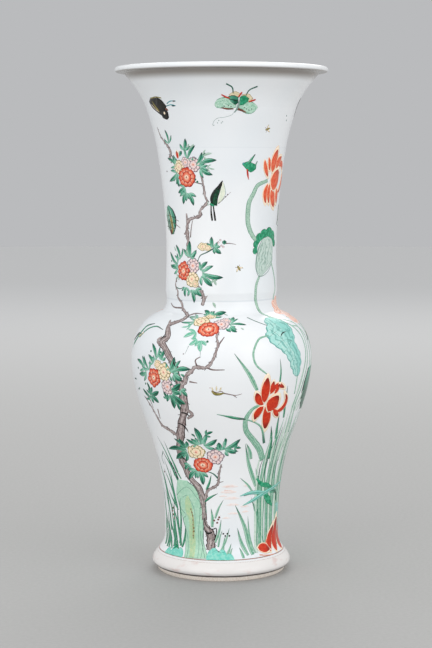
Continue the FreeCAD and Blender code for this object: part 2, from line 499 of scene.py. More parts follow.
# Brushwork
EDGE_LIFT = -0.08
SUNK_LIFT = -0.14
COAT_LIFT = 0.14
LINE_LIFT = 0.1
COAT_STEP = 0.07
LEAST_WIDTH = 0.1
ROW_STEP = 1.4
WIDE_COLUMN = 1.8
NARROW_COLUMNS = 4
LEAFLET_LEAST = 6.0
LEAFLET_SPREAD = math.radians(43)
LEAFLET_WIDTH = 0.74
LEAFLET_LONG = 0.74
LEAFLET_SHORT = 0.62
LEAF_WIDTH = 0.94
LEAF_BEND = 0.08
BLADE_BEND = 0.04
KNOTS = 7
KNOT_SWELL = 6.3
KNOT_PINCH = 14.7
THORN_SIDES = (1, -1, -1, 1, -1)
HAIR_WIDTH = 0.5
FULL_LIFT_WIDTH = 0.6
PANEL_ROW = 1.4
KNOT_STEP = 6.5
PETAL_STEP = 1.7
BACK_NAME = "_back"
BACK_TURN = 162


def span_lengths(p):
    """Length of each step of a line on the glaze, in millimetres."""
    middle = (p[1:, 1] + p[:-1, 1]) / 2
    across = np.radians(np.diff(p[:, 0])) * radius(middle)
    return np.hypot(across, np.diff(p[:, 1]) / np.cos(lean(middle))) + 1e-6


def smooth(points, rows):
    """That many points evenly along a smooth line through the given ones."""
    p = np.array(points, float)
    if len(p) > 2:
        p = np.vstack([2 * p[0] - p[1], p, 2 * p[-1] - p[-2]])
        s = np.linspace(0, len(p) - 3, 12 * len(p))
        i = np.minimum(s.astype(int), len(p) - 4)
        f = (s - i)[:, None]
        a, b, c, d = p[i], p[i + 1], p[i + 2], p[i + 3]
        p = 0.5 * (
            2 * b + (c - a) * f + (2 * a - 5 * b + 4 * c - d) * f ** 2 + (3 * b - a - 3 * c + d) * f ** 3
        )
    run = np.concatenate([[0], np.cumsum(span_lengths(p))])
    at = np.linspace(0, run[-1], rows)
    return np.stack([np.interp(at, run, p[:, 0]), np.interp(at, run, p[:, 1])], -1)


def leafy(width, peak=0.45, blunt=0.75):
    """Half-widths that swell from a point and close to a point again."""
    power = math.log(0.5) / math.log(peak)
    return lambda t: width / 2 * np.sin(math.pi * t ** power) ** blunt


def widths(*values):
    """Half-widths through these widths, evenly along."""
    return lambda t: np.interp(t, np.linspace(0, 1, len(values)), np.array(values) / 2)


def half_widths(shape):
    """A stroke's half-widths, given as they are or as widths evenly along it."""
    return shape if callable(shape) else widths(*shape)


def gnarled(half, amount):
    """Half-widths that swell and pinch like old wood."""
    def width(t):
        swell = amount * np.sin(KNOTS * KNOT_SWELL * t)
        return half(t) * (1 + swell + amount * np.sin(KNOTS * KNOT_PINCH * t + 1))

    return width


class Painting:
    """One motif of the decoration: its brush strokes gathered into one mesh."""

    def __init__(self, name, turn):
        self.name = name + BACK_NAME if turn else name
        self.turn = turn
        self.corners = []
        self.faces = []
        self.looks = []
        self.paints = []
        self.across = []
        self.along = []
        self.count = 0

    def sheet(self, angle, height, raised, v, t, name):
        """A closed sheet of enamel over a grid of rows and columns of surface points.

        A wide sheet's underside follows the glaze too, just under it.
        """
        if len(v) > NARROW_COLUMNS + 1:
            under = slice(-2, 0, -1)
            raised = np.hstack([raised, np.full_like(raised[:, under], SUNK_LIFT)])
            angle, height = np.hstack([angle, angle[:, under]]), np.hstack([height, height[:, under]])
            v = np.concatenate([v, v[under]])
        rows, ring = angle.shape
        self.corners.append(on_glaze(angle.ravel() + self.turn, height.ravel(), raised.ravel()))
        self.across.append(np.broadcast_to(v, (rows, ring)).ravel())
        self.along.append(np.broadcast_to(t[:, None], (rows, ring)).ravel())
        if name not in self.paints:
            self.paints.append(name)
        base = self.count
        last = base + (rows - 1) * ring
        faces = []
        for low in range(base, last, ring):
            steps = [(low + j, low + (j + 1) % ring) for j in range(ring)]
            faces += [(a, a + ring, b + ring, b) for a, b in steps]
        faces.append(tuple(range(base, base + ring)))
        faces.append(tuple(range(last + ring - 1, last - 1, -1)))
        self.faces += faces
        self.looks += [self.paints.index(name)] * len(faces)
        self.count += rows * ring

    def stroke(self, points, shape, name, coat=0, lift=COAT_LIFT, rows=None):
        """A stroke along the points, as wide as its shape says, domed and closed."""
        points = np.array(points, float)
        rows = rows or max(4, int(span_lengths(points).sum() / ROW_STEP) + 1, 3 * len(points) - 3)
        t = np.linspace(0, 1, rows)
        wide = np.maximum(half_widths(shape)(t), LEAST_WIDTH / 2)
        columns = max(
            2 if wide.max() < HAIR_WIDTH else NARROW_COLUMNS, 2 * math.ceil(wide.max() / WIDE_COLUMN),
        )
        angle, height = smooth(points, rows).T
        run = np.gradient(np.radians(angle)) * radius(height)
        rise = np.gradient(height) / np.cos(lean(height))
        pace = np.hypot(run, rise) + 1e-9
        swing = np.linspace(-math.pi / 2, math.pi / 2, columns + 1)
        offset = wide[:, None] * np.sin(swing)[None, :]
        h = height[:, None] + offset * (run / pace * np.cos(lean(height)))[:, None]
        a = angle[:, None] + np.degrees(-offset * (rise / pace)[:, None] / radius(h))
        top = coat * COAT_STEP + lift * np.minimum(1, wide / FULL_LIFT_WIDTH)[:, None]
        dome = np.sqrt(np.cos(swing).clip(0, 1))[None, :]
        self.sheet(a, h, EDGE_LIFT + (top - EDGE_LIFT) * dome, np.sin(swing), t, name)

    def panel(self, left, right, name, coat=0, columns=8, ruffle=0, count=9):
        """A sheet between two edges that run the same way, left and right of it, maybe ruffled."""
        length = span_lengths(np.array(left, float)).sum()
        rows = max(6, 4 * count if ruffle else 0, int(length / ROW_STEP / PANEL_ROW))
        left, right = smooth(left, rows), smooth(right, rows)
        ahead, over = left[-1] - left[0], left[rows // 2] - right[rows // 2]
        if ahead[0] * over[1] < ahead[1] * over[0]:
            left, right = right, left
        if ruffle:
            t = np.linspace(0, 1, rows)
            push = np.degrees(ruffle * np.abs(np.sin(count * math.pi * t)) / radius(left[:, 1]))
            push = np.sign(right[:, 0].mean() - left[:, 0].mean()) * push
            left[:, 0] -= push
            right[:, 0] += push
        swing = np.linspace(-math.pi / 2, math.pi / 2, columns + 1)
        share = (1 + np.sin(swing))[None, :, None] / 2
        grid = right[:, None, :] * (1 - share) + left[:, None, :] * share
        dome = np.sqrt(np.cos(swing).clip(0, 1))[None, :]
        raised = EDGE_LIFT + (COAT_LIFT + coat * COAT_STEP - EDGE_LIFT) * dome
        raised = np.broadcast_to(raised, grid.shape[:2])
        self.sheet(grid[..., 0], grid[..., 1], raised, np.sin(swing), np.linspace(0, 1, rows), name)

    def line(self, points, width, name, end=None, coat=1):
        """A thin drawn line, from width to end."""
        self.stroke(points, (width, width if end is None else end), name, coat, LINE_LIFT)

    def dot(self, angle, height, size, name, coat=1):
        spot = Spot(angle, height)
        self.stroke(spot((0, -size / 2), (0, size / 2)), leafy(size, 0.5, 0.5), name, coat, rows=5)

    def dots(self, places, size, name, coat=1):
        for angle, height in places:
            self.dot(angle, height, size, name, coat)

    def bowed(self, a0, h0, a1, h1, bend):
        """Root, middle and tip of a leaf that bows sideways by a share of its length."""
        r = radius((h0 + h1) / 2)
        run = math.radians(a1 - a0) * r
        middle = ((a0 + a1) / 2 - math.degrees((h1 - h0) * bend / r), (h0 + h1) / 2 + run * bend)
        return [(a0, h0), middle, (a1, h1)]

    def leaves(self, rows, name="leaf", side=None):
        """Peony leaves: a long leaflet between two short ones, from each root to its tip."""
        for count, (a0, h0, a1, h1, width) in enumerate(rows):
            bow = LEAF_BEND if count % 2 else -LEAF_BEND
            r = radius((h0 + h1) / 2)
            run, rise = math.radians(a1 - a0) * r, h1 - h0
            length = math.hypot(run, rise)
            spot = Spot(a0, h0, math.degrees(math.atan2(rise, run)))
            if length > LEAFLET_LEAST:
                for way in (-1, 1):
                    reach = length * (LEAFLET_LONG if way * bow > 0 else LEAFLET_SHORT)
                    tip = (reach * math.cos(LEAFLET_SPREAD), way * reach * math.sin(LEAFLET_SPREAD))
                    middle = (tip[0] * 0.5, tip[1] * 0.62)
                    shape = leafy(width * LEAFLET_WIDTH, 0.5)
                    self.stroke(spot((0.4, 0), middle, tip), shape, side or name, 1)
            shape = leafy(width * LEAF_WIDTH, 0.55)
            self.stroke(spot((0, 0), (length / 2, bow * length), (length, 0)), shape, name, 2)

    def blades(self, rows, name="grass"):
        """Blades of grass, widest low down."""
        for count, (a0, h0, a1, h1, width) in enumerate(rows):
            points = self.bowed(a0, h0, a1, h1, BLADE_BEND if count % 2 else -BLADE_BEND)
            shape = (width * 0.75, width, width * 0.85, width * 0.5, 0.2)
            self.stroke(points, shape, name)

    def bark(self, points, shape, amount=0.2, rows=None):
        """A gnarled branch with dark knots and thorns to either side."""
        half = half_widths(shape)
        self.stroke(points, gnarled(half, amount), "bark", rows=rows)
        count = max(1, int(span_lengths(np.array(points, float)).sum() / KNOT_STEP))
        path = smooth(points, 4 * count + 1)
        for i in range(count):
            here, ahead = path[4 * i + 1], path[4 * i + 2]
            run = math.radians(ahead[0] - here[0]) * radius(here[1])
            spot = Spot(here[0], here[1], math.degrees(math.atan2(ahead[1] - here[1], run)))
            way = THORN_SIDES[i % len(THORN_SIDES)]
            edge = way * half((4 * i + 1) / (4 * count))
            points = spot((-0.5, edge * 0.3), (0.3, edge * 0.9), (1.1, edge * 1.1 + way * 0.7))
            self.stroke(points, (0.4, 0.9, 0.3), "knot", 2)

    def petal(self, points, width, name, coat=1, line=1.1):
        """A lotus petal of one colour inside a cream outline."""
        self.stroke(points, leafy(width + line, 0.5, 0.55), "cream", coat)
        inner = smooth(points, 25)[1:24:4]
        self.stroke(inner, leafy(width, 0.5, 0.6), name, coat + 1.5)

    def flower(self, petals, name):
        """Lotus petals that overlap, each with its outline over the ones before."""
        for count, (points, width) in enumerate(petals):
            self.petal(points, width, name, 1 + PETAL_STEP * (count % 4))

    def finish(self):
        mesh = bpy.data.meshes.new(self.name)
        mesh.from_pydata(np.concatenate(self.corners).tolist(), [], self.faces)
        for name, values in (("across", self.across), ("along", self.along)):
            layer = mesh.attributes.new(name, "FLOAT", "POINT")
            layer.data.foreach_set("value", np.concatenate(values).astype(np.float32))
        for name in self.paints:
            mesh.materials.append(paint(name))
        mesh.polygons.foreach_set("material_index", self.looks)
        mesh.polygons.foreach_set("use_smooth", [True] * len(self.faces))
        mesh.update()
        thing = bpy.data.objects.new(self.name, mesh)
        bpy.context.scene.collection.objects.link(thing)
        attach(thing, "root")


# Peonies
def petal_ring(p, spot, squash, count, near, far, width, name, coat, start):
    """A ring of short petals about a spot, from near to far out."""
    for i in range(count):
        way = math.tau * (i + start) / count
        reach = far * (1 + 0.06 * math.sin(3.1 * i + far))
        ends = [(math.cos(way) * k, math.sin(way) * k * squash) for k in (near, reach)]
        p.stroke(spot(*ends), leafy(width, 0.64, 0.42), name, coat, rows=7)


def peony(p, angle, height, size=8, squash=1.0, turn=0, kind="red", coat=2):
    """A full-faced peony: two rings of lobed petals about a heart with a dark eye."""
    spot = Spot(angle, height, turn)
    petal_ring(p, spot, squash, 10, size * 0.4, size, size * 0.66, kind + "_lobe", coat, 0.2)
    petal_ring(p, spot, squash, 7, size * 0.08, size * 0.6, size * 0.54, kind + "_lobe", coat + 1.2, 0.5)
    heart = size * 0.24
    p.stroke(
        spot((-heart, 0), (heart, 0)), leafy(heart * 2 * squash, 0.5, 0.5), kind + "_heart", coat + 3,
        rows=6,
    )
    p.dot(angle, height, size * 0.2, "brown" if kind == "red" else "scarlet", coat + 4)


# The neck's motifs
LEAVES_1 = [
    (-35, 382, -32, 393, 4.2), (-32, 374, -23, 387, 3.6), (-24, 369, -17, 381, 3.6),
    (-21, 370, -4, 374, 4.6), (-20, 367, -8, 361, 4.2), (-46, 371, -49, 378, 2.6),
    (-45, 369, -57, 376, 3.4), (-45, 363, -58, 355, 4), (-45, 362, -44, 350, 4.2),
    (-37, 351, -46, 345, 4.6), (-36, 346, -40, 335, 4.4), (-34, 345, -28, 334, 4.6),
    (-52, 388, -54, 401, 3), (-40, 377, -37, 382, 4),
]
PALE_1 = [(-30, 384, -24, 388, 2.2), (-17, 377, -8, 380, 2.4), (-13, 368, -6, 366, 1.6)]
BRANCH_1 = [
    (-19, 361), (-17, 352), (-16, 343), (-14, 337), (-21, 330), (-22, 325), (-33, 322), (-36, 318),
    (-37, 311), (-36, 303), (-36, 296), (-35, 288),
]
LEAVES_2 = [
    (-47, 286, -54, 299, 3.6), (-51, 281, -66, 292, 4), (-50, 277, -64, 279, 4.4),
    (-33, 288, -34, 303, 5.4), (-33, 288, -27, 292, 3), (-22, 277, -14, 285, 4), (-20, 275, 2, 271, 5),
    (-21, 272, -9, 263, 4.4), (-38, 262, -40, 253, 3.6), (-32, 260, -29, 248, 4.2),
    (-26, 261, -20, 254, 4.4), (-8, 297, -10, 307, 4), (-7, 298, 0, 292, 4.4),
]
PALE_2 = [
    (-36, 290, -39, 295, 3), (-9, 269, -5, 264, 2.4), (-48, 271, -54, 268, 2), (-53, 293, -57, 297, 1.6),
]


def neck_peony(turn):
    p = Painting("peony_spray_neck", turn)
    p.bark(BRANCH_1, (1.6, 2.0, 2.2, 2.6, 3.4, 3.0, 3.8, 4.2, 3.8, 3.6), rows=70)
    p.stroke([(-27, 355), (-23, 354), (-18, 353)], (0.8, 1.2), "twig")
    p.bark([(-66, 403), (-63, 395), (-54, 386), (-51, 380), (-55, 374)], (0.8, 1.8, 2.6, 3.8, 2.4))
    p.stroke([(-51, 379), (-44, 372)], (1.6, 1.2), "twig")
    p.stroke([(-37, 327), (-36, 318)], (1.6, 3.2), "bark")
    p.stroke([(-30, 321), (-32, 313), (-33, 306)], (0.8, 1.2), "twig")
    p.stroke([(-38, 309), (-41, 309)], (2.4, 1.4), "bark")
    p.leaves(LEAVES_1, side="leaf_side")
    p.leaves(PALE_1, "leaf_pale")
    peony(p, -26, 370, 7.0, kind="mauve", coat=1)
    peony(p, -34, 372, 5.0, kind="mauve", coat=1)
    peony(p, -42, 368, 6.4, kind="yellow", coat=1)
    peony(p, -34, 359, 9.4, 0.98)
    p.petal([(-42, 375), (-43, 383)], 3.6, "red_petal", 2, 0.8)
    p.dots([(-61, 364), (-52, 372)], 1.6, "twig")
    p.dots([(-25, 357), (-23, 355)], 2.2, "leaf_dark")
    p.finish()


def neck_cluster(turn):
    p = Painting("peony_spray_seam", turn)
    p.bark(
        [(-52, 269), (-54, 263), (-50, 257), (-51, 252), (-45, 247), (-42, 242), (-32, 237)],
        (1.2, 1.8, 2.2, 2.4, 2.6, 2.8, 3.6), 0.15,
    )
    p.stroke([(-53, 261), (-46, 260), (-41, 262)], (1.2, 0.6), "green_line")
    p.stroke([(-65, 246), (-57, 243), (-44, 243)], (1.0, 1.4, 1.8), "twig")
    p.stroke([(-32, 237), (-26, 239), (-18, 239)], (2.4, 0.6), "twig")
    p.bark([(-24, 263), (-20, 258), (-18, 252), (-20, 246)], (2.0, 3.6, 4.2, 2.6))
    p.stroke([(-14, 255), (-17, 252)], (0.6, 2.0), "bark")
    p.line([(-7, 297), (-15, 293), (-22, 290), (-25, 284)], 1.4, "green_line", 0.7)
    p.line([(4, 301), (9, 301), (15, 300)], 1.0, "twig", 0.4)
    p.leaves(LEAVES_2, side="leaf_side")
    p.leaves(PALE_2, "leaf_pale")
    peony(p, -30, 281, 6.8, 1.05, kind="mauve", coat=1)
    peony(p, -31, 269, 7.0, 1.05, kind="yellow", coat=1)
    peony(p, -27, 265, 3.4, kind="yellow", coat=4)
    peony(p, -42, 276, 7.4, 1.2)
    peony(p, -19, 298, 5.0, 0.72, kind="yellow", coat=1)
    peony(p, -14, 297, 3.4, 0.8, kind="yellow", coat=2)
    p.dots([(-3, 302), (0, 299), (2, 298), (-1, 304)], 2.0, "mauve_lobe")
    p.dot(3, 302, 4.2, "leaf_dark")
    p.dots([(-63, 284), (-25, 285), (-47, 289)], 2.0, "leaf_dark")
    p.finish()


def long_bird(turn):
    """The black-green bird on its twig, head up, with two long tail feathers."""
    p = Painting("long_tailed_bird", turn)
    p.panel([(-4, 336), (-1, 347), (1, 355)], [(0, 338), (3.5, 345), (2, 354)], "down")
    p.line([(0, 338), (4, 345), (2, 354)], 0.6, "grey_line")
    p.panel(
        [(-10, 335), (-11, 341), (-8, 347), (-4, 351), (1, 356)],
        [(-4, 334), (-3, 341), (-1, 347), (0, 351), (1, 355)], "night_green", 1,
    )
    p.stroke([(1, 356), (-1, 352), (-3, 348)], (0.8, 3.4, 1.6), "ink", 3)
    p.stroke([(-11, 336), (-7, 334)], (2.6, 2.0), "lotus_fold", 2)
    p.stroke([(-10, 335), (-10, 328), (-9, 321)], (1.2, 1.3, 1.9, 1.6), "ink", 1)
    p.stroke([(-8, 335), (-7, 328), (-6, 321)], (1.2, 1.3, 1.9, 1.6), "ink", 1)
    p.dots([(-13, 337), (-13, 335)], 1.6, "leaf_pale")
    p.line([(-3, 336), (1, 339), (3, 341), (9, 346)], 0.9, "twig", 0.4)
    p.dots([(4, 342), (6, 344)], 1.3, "twig")
    p.finish()


NECK_STEM = [(49, 356), (37, 352), (32, 344), (28, 337), (27, 326), (28, 317), (32, 309), (38, 303)]
NECK_PETALS = [
    ([(42, 375), (45, 366), (50, 357)], 5.4), ([(47, 377), (49, 371), (50, 363)], 4.6),
    ([(54, 362), (56, 374), (60, 387)], 9.4), ([(60, 366), (64, 373), (70, 379)], 8.0),
    ([(50, 354), (47, 345), (49, 333)], 6.2), ([(52, 354), (52, 343), (54, 333)], 5.6),
    ([(56, 350), (60, 340), (64, 329)], 9.0), ([(66, 350), (68, 340), (69, 333)], 7.0),
    ([(60, 362), (66, 370), (74, 370), (80, 362)], 7.0),
    ([(80, 364), (80, 355), (74, 347), (66, 344)], 6.0),
]


def neck_lotus(turn):
    p = Painting("lotus_neck", turn)
    p.stroke(NECK_STEM, (3.4, 4.2, 4.6, 5.0, 5.0, 4.8, 4.4), "stem")
    p.flower(NECK_PETALS, "red_faint")
    p.petal([(58, 346), (61, 357), (66, 369)], 15.0, "red_faint", 7, 1.2)
    p.line([(57, 351), (59, 357), (62, 364)], 0.7, "scarlet", coat=10)
    p.line([(64, 350), (66, 357), (67, 364)], 0.9, "scarlet", coat=10)
    p.finish()


def small_bird(turn):
    p = Painting("small_green_bird", turn)
    p.panel(
        [(19, 371), (24, 373), (28, 372), (33, 370)], [(19, 370), (23, 366), (28, 363), (33, 366)],
        "lotus_fold", 1,
    )
    p.stroke([(25, 371), (28, 375), (31, 379)], (3.0, 2.4, 0.8), "grass_dark", 2)
    p.stroke([(31, 367), (34, 373)], (2.2, 0.7), "grass_dark", 1)
    p.stroke([(24, 366), (25, 361), (26, 357)], (1.6, 2.0, 0.6), "scarlet", 1)
    p.dot(20, 371, 2.0, "teal", 2)
    p.finish()


def butterfly(turn):
    """The green butterfly, seen from above, trailing a tendril."""
    p = Painting("green_butterfly", turn)
    p.panel(
        [(-5, 422), (-3, 426), (2, 428), (8, 426), (11, 423)],
        [(-5, 422), (-4, 419), (1, 418), (6, 418), (11, 419)], "wing",
    )
    p.panel(
        [(13, 421), (18, 425), (23, 424), (27, 421)], [(13, 418), (18, 414), (24, 414), (28, 419)], "wing",
    )
    p.panel([(5, 430), (9, 433), (13, 431)], [(6, 428), (10, 428), (13, 428)], "tan")
    p.panel([(14, 430), (19, 431), (23, 427)], [(15, 426), (18, 425), (21, 424)], "tan")
    p.panel([(4, 428), (8, 430), (12, 428)], [(7, 424), (10, 421), (12, 423)], "leaf_dark", 2)
    p.panel([(13, 428), (16, 430), (20, 427)], [(13, 421), (16, 421), (19, 424)], "lotus_fold", 2)
    for points, width in (
        ([(0, 430), (3, 428), (6, 427)], 1.8), ([(12, 428), (14, 432)], 2.0), ([(20, 424), (25, 426)], 1.8),
    ):
        p.stroke(points, (width * 0.6, width, width * 0.7), "scarlet", 4)
    p.stroke([(0, 419), (4, 418), (9, 418)], (1.0, 1.8, 1.0), "brown", 3)
    p.stroke([(12, 418), (15, 417), (19, 415)], (2.6, 2.2, 0.8), "brown", 3)
    p.dots([(2, 420), (5, 421), (7, 420), (17, 419), (19, 418), (21, 417), (23, 418)], 1.1, "ink", 3)
    p.stroke([(10, 415), (12, 419), (13, 425)], (0.8, 2.0, 1.6), "grey_line", 4)
    p.stroke([(8, 431), (7, 436), (3, 439)], (0.9, 1.3, 1.6), "green_line", 1)
    p.stroke([(17, 429), (19, 434), (24, 437)], (0.9, 1.3, 1.6), "green_line", 1)
    p.line([(10, 416), (8, 413), (3, 411), (-3, 410), (-6, 407), (-7, 404)], 0.5, "grey_line")
    p.dots([(-6, 404), (-3, 406), (-2, 408), (0, 406), (1, 407)], 1.0, "grey_line")
    p.finish()


def moth(turn):
    p = Painting("black_moth", turn)
    p.panel(
        [(-67, 425), (-65, 420), (-59, 416), (-52, 412)], [(-61, 429), (-54, 428), (-50, 421), (-51, 413)],
        "ink",
    )
    p.panel([(-54, 429), (-49, 427), (-45, 421)], [(-58, 421), (-53, 418), (-48, 416)], "ink", 1)
    p.panel([(-53, 415), (-53, 411), (-48, 409)], [(-50, 418), (-45, 417), (-45, 411)], "ink", 1)
    p.stroke([(-61, 426), (-59, 421), (-55, 417)], (0.6, 2.4, 2.8, 0.8), "olive", 3)
    p.line([(-64, 423), (-60, 419), (-55, 416)], 0.7, "cream", coat=5)
    p.line([(-62, 428), (-54, 429), (-48, 428)], 1.2, "olive", coat=3)
    p.dot(-49, 415, 2.8, "cream", 4)
    p.dot(-50, 414, 1.2, "ink", 6)
    p.stroke([(-47, 419), (-44, 417)], leafy(2.4), "brown", 4)
    p.stroke([(84, 429), (86, 421), (88, 413)], (3, 8, 4), "ink")
    p.line([(-44, 423), (-40, 425), (-35, 425)], 1.0, "teal")
    p.line([(-45, 421), (-40, 422), (-36, 421)], 1.0, "teal")
    p.stroke([(-38, 425), (-35, 425)], leafy(1.4), "ink", 2)
    p.stroke([(-40, 421), (-36, 421)], leafy(1.4), "ink", 2)
    p.finish()


def bee(p, angle, height, turn):
    spot = Spot(angle, height, turn)
    p.stroke(spot((-2.6, 0), (0, 0), (2.6, 0)), (0.8, 2.0, 2.2, 1.0), "olive", 2)
    for way in (-1, 1):
        p.stroke(spot((0.4, 0), (-0.6, way * 2), (-2, way * 3.6)), leafy(1.6), "yellow_lobe")
        p.line(spot((1, way * 0.4), (2.4, way * 2.4)), 0.45, "brown")


def insects(turn):
    p = Painting("bees", turn)
    bee(p, 41, 401, 200)
    bee(p, 18, 279, 120)
    p.dots([(62, 413), (64, 409)], 1.6, "grey_line")
    p.finish()
    p = Painting("cricket", turn)
    p.stroke([(-68, 333), (-62, 321), (-60, 308)], (5, 16, 19, 15, 5), "leaf_dark")
    p.stroke([(-64, 326), (-60, 318), (-59, 309)], (1, 6, 6, 1), "olive", 2)
    for shift in (-9, -5, -1, 4):
        p.line([(-66 + shift, 329), (-62 + shift, 319), (-60 + shift, 312)], 0.9, "grass_pale", coat=4)
    for level in (314, 319, 324):
        p.line([(-72, level + 1), (-62, level), (-54, level - 1)], 0.8, "ink", coat=5)
    p.stroke([(-63, 313), (-61, 308)], leafy(4.4), "brown", 3)
    p.line([(-55, 322), (-48, 320)], 1.0, "twig", 0.5)
    p.line([(-55, 318), (-46, 314)], 1.0, "twig", 0.5)
    p.finish()
    p = Painting("dragonfly", turn)
    p.stroke([(-6, 174), (-4, 171.6), (-1, 171.4), (1.5, 172.4)], (1.2, 3.0, 2.6, 1.4), "olive", 1)
    for points in ([(-5, 174), (-6, 178)], [(-3, 174), (-3, 179)], [(-1, 174), (0, 178)]):
        p.stroke(points, leafy(1.5), "tan", 2)
    p.line([(-6, 174.4), (-3, 173), (0, 174), (1, 173)], 0.7, "brown", coat=3)
    p.line([(1, 172.4), (5, 171.2), (9, 170.2), (13, 171.4)], 1.3, "twig", 0.5)
    p.line([(7, 170.8), (10, 168)], 1.1, "twig", 0.5)
    p.dot(-7, 177, 1.2, "mauve_lobe")
    p.finish()


# The body's motifs
TRUNK = [
    (-32, 237), (-33, 234), (-39, 231), (-42, 229), (-40, 224), (-38, 219), (-42, 215), (-38, 210),
    (-34, 203), (-31, 197), (-28, 185), (-26, 176), (-25, 167), (-25, 158), (-29, 144), (-33, 130),
    (-37, 115), (-34, 103), (-30, 93), (-21, 82), (-18, 70), (-17, 54),
]
LEAVES_3 = [
    (-11, 238, -17, 246, 4.4), (-9, 237, 5, 246, 5), (-20, 236, -30, 236, 2.8), (-21, 233, -33, 231, 3),
    (7, 234, 11, 239, 4), (6, 231, 19, 230, 3.6), (6, 229, 11, 223, 4.4), (3, 228, 5, 224, 2.6),
]
LIGHT_3 = [
    (-17, 224, -26, 219, 4.4), (-16, 219, -21, 213, 4.2), (-13, 218, -13, 207, 5),
    (-23, 230, -30, 227, 2.4),
]
PALE_3 = [(-6, 244, -9, 249, 2.6), (14, 228, 16, 226, 2), (-5, 237, 1, 238, 1.6), (2, 239, 6, 237, 1.4)]
BRANCH_3 = [
    (-2, 225), (-3, 221), (-2, 214), (-3, 210), (-5, 202), (-9, 195), (-16, 195), (-18, 192), (-22, 187),
    (-23, 182), (-26, 177),
]
LEAVES_4 = [
    (-44, 199, -50, 213, 4.2), (-40, 199, -38, 208, 4.6), (-47, 195, -52, 203, 3.6),
    (-51, 189, -57, 201, 3.6), (-56, 190, -66, 197, 4.4), (-54, 187, -64, 184, 4.8),
    (-34, 189, -30, 203, 5.6), (-31, 190, -19, 193, 5), (-31, 188, -25, 182, 4.8),
    (-26, 188, -23, 186, 2.6), (-33, 186, -32, 181, 2.8), (-27, 174, -22, 168, 4.4),
]
DARK_4 = [
    (-53, 167, -55, 178, 3.4), (-53, 164, -62, 171, 3.8), (-53, 167, -44, 171, 5),
    (-53, 165, -46, 160, 5.4), (-38, 165, -40, 171, 3.4), (-35, 169, -33, 156, 5.4),
    (-33, 170, -24, 161, 6.4), (-31, 163, -29, 155, 3.4), (-34, 173, -26, 180, 6.4),
]
LEAVES_5 = [
    (-16, 124, -20, 141, 6), (-18, 124, -28, 129, 3.6), (-14, 123, -3, 130, 4.8), (0, 119, -2, 127, 5.4),
    (2, 120, 15, 130, 5), (3, 119, 12, 116, 5), (-22, 100, -31, 90, 5), (-20, 99, -17, 86, 5.6),
    (-29, 105, -34, 99, 4.4),
]
DARK_5 = [
    (-29, 118, -49, 117, 5), (-29, 120, -35, 129, 6), (-29, 116, -42, 108, 5.4), (-12, 133, -6, 137, 3),
    (3, 126, 3, 131, 3), (10, 121, 16, 121, 3), (-20, 131, -23, 134, 2.2),
]


def tree(turn):
    p = Painting("old_peony_trunk", turn)
    p.bark(TRUNK, (4.0, 5.6, 6.8, 7.2, 7.4, 7.6, 8.6, 8.2, 7.6, 7.0, 6.4, 5.6), 0.1, 150)
    p.stroke([(-45, 233), (-42, 229), (-41, 224)], (1.6, 4.4, 2.4), "bark")
    p.stroke([(-43, 219), (-46, 216), (-43, 212)], (2.2, 3.4, 2.2), "bark")
    p.bark(BRANCH_3, (2.2, 2.4, 2.8, 3.4, 3.8, 4.6, 5.4), 0.16, 60)
    for points in (
        [(2, 221), (-2, 214)], [(-13, 204), (-16, 201), (-15, 196)], [(2, 193), (-5, 193), (-9, 195)],
        [(-15, 181), (-20, 182)], [(-49, 145), (-49, 154)], [(-54, 154), (-55, 160), (-59, 168)],
    ):
        p.stroke(points, (0.8, 1.3, 1.8), "twig")
    p.bark(
        [(-62, 164), (-56, 155), (-53, 148), (-49, 139), (-43, 136), (-35, 131)],
        (1.0, 2.0, 2.6, 3.2, 3.8, 4.2), 0.14,
    )
    p.stroke([(-23, 156), (-20, 152), (-24, 148)], (3.0, 3.6, 2.4), "bark", 1)
    for points in (
        [(-33, 143), (-29, 142), (-26, 138), (-25, 135)], [(-29, 153), (-25, 153), (-22, 150)],
        [(-41, 221), (-43, 217)], [(-31, 200), (-29, 194)], [(-36, 113), (-33, 108)],
    ):
        p.stroke(points, leafy(1.7), "ink", 3)
    p.bark([(-18, 57), (-15, 48), (-11, 42), (-10, 36), (-11, 27)], (3, 5, 8.6, 9.0, 8.0), 0.1)
    p.stroke([(-17, 45), (-13, 42), (-8, 44)], leafy(2.4), "ink", 3)
    p.line([(-17, 56), (-15, 49), (-9, 46), (-5, 47), (-5, 42), (-7, 36)], 1.0, "ink", coat=3)
    p.dots([(-9, 36), (-12, 33), (-10, 31)], 1.0, "ink", 3)
    p.finish()


def shoulder_cluster(turn):
    p = Painting("peony_spray_shoulder", turn)
    p.leaves(LEAVES_3, side="leaf_side")
    p.leaves(LIGHT_3, "leaf_light")
    p.leaves(PALE_3, "leaf_pale")
    p.line([(-13, 208), (-13, 203)], 0.7, "grey_line", 0.4)
    p.line([(-21, 213), (-23, 206)], 0.7, "grey_line", 0.4)
    peony(p, -16, 233, 7.6, 0.95, kind="yellow", coat=1)
    peony(p, -9, 237, 5.0, 0.9, kind="yellow", coat=1)
    peony(p, 0, 231, 7.2, 0.95, kind="mauve", coat=1)
    peony(p, 4, 234, 4.4, 0.9, kind="mauve", coat=1)
    peony(p, -9, 227, 10.0, 0.8, 8)
    p.dot(-9, 217, 2.4, "leaf_dark")
    p.dot(-24, 206, 1.2, "twig")
    p.finish()


